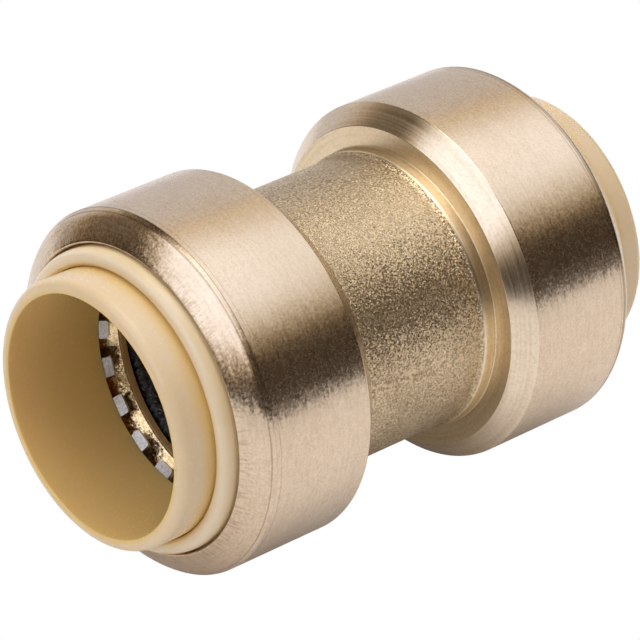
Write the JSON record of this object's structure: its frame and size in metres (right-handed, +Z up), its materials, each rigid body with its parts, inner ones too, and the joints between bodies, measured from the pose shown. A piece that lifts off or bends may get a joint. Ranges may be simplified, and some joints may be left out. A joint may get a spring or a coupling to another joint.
{
  "type": "push fit coupling",
  "caption": "Straight push fit tube coupling: a brass body with two round cups, each holding a rubber seal, a toothed steel grab ring and a plastic release collar that slides in.",
  "frame": {"origin": "on the coupling's axis, at the middle of its tube stop and of its whole length", "axes": "+X along the axis towards the far end, +Z up, the near end is at -X"},
  "size_m": [0.055, 0.034, 0.034],
  "materials": {
    "body_brass": "satin turned cups with fine turning lines, sandblasted neck",
    "turned_brass": "bright machined",
    "spring_steel": "satin stamped stainless steel",
    "collar_plastic": "smooth satin acetal",
    "ring_plastic": "smooth satin acetal",
    "shaded_plastic": "smooth satin acetal, darker",
    "rubber": "black rubber with a film of grease"
  },
  "bodies": {
    "root": {"body": "body_brass", "near_seal_ring": "rubber", "near_protector_ring": "shaded_plastic", "near_backing_ring": "turned_brass", "near_retaining_ring": "ring_plastic", "far_seal_ring": "rubber", "far_protector_ring": "shaded_plastic", "far_backing_ring": "turned_brass", "far_retaining_ring": "ring_plastic"},
    "near_grip": {"near_grab_ring": "spring_steel"},
    "near_collar": {"near_release_collar": "collar_plastic"},
    "far_grip": {"far_grab_ring": "spring_steel"},
    "far_collar": {"far_release_collar": "collar_plastic"}
  },
  "joints": [
    {"name": "near_grip_spin", "type": "hinge", "parent": "root", "child": "near_grip", "pos_m": [0, 0, 0], "axis": [1, 0, 0], "continuous": true},
    {"name": "near_collar_press", "type": "slide", "parent": "near_grip", "child": "near_collar", "axis": [1, 0, 0], "range_m": [0, 0.0015], "stiffness_N_per_m": 2000, "deforming": ["near_grab_ring"]},
    {"name": "far_grip_spin", "type": "hinge", "parent": "root", "child": "far_grip", "pos_m": [0, 0, 0], "axis": [1, 0, 0], "continuous": true},
    {"name": "far_collar_press", "type": "slide", "parent": "far_grip", "child": "far_collar", "axis": [-1, 0, 0], "range_m": [0, 0.0015], "stiffness_N_per_m": 2000, "deforming": ["far_grab_ring"]}
  ]
}
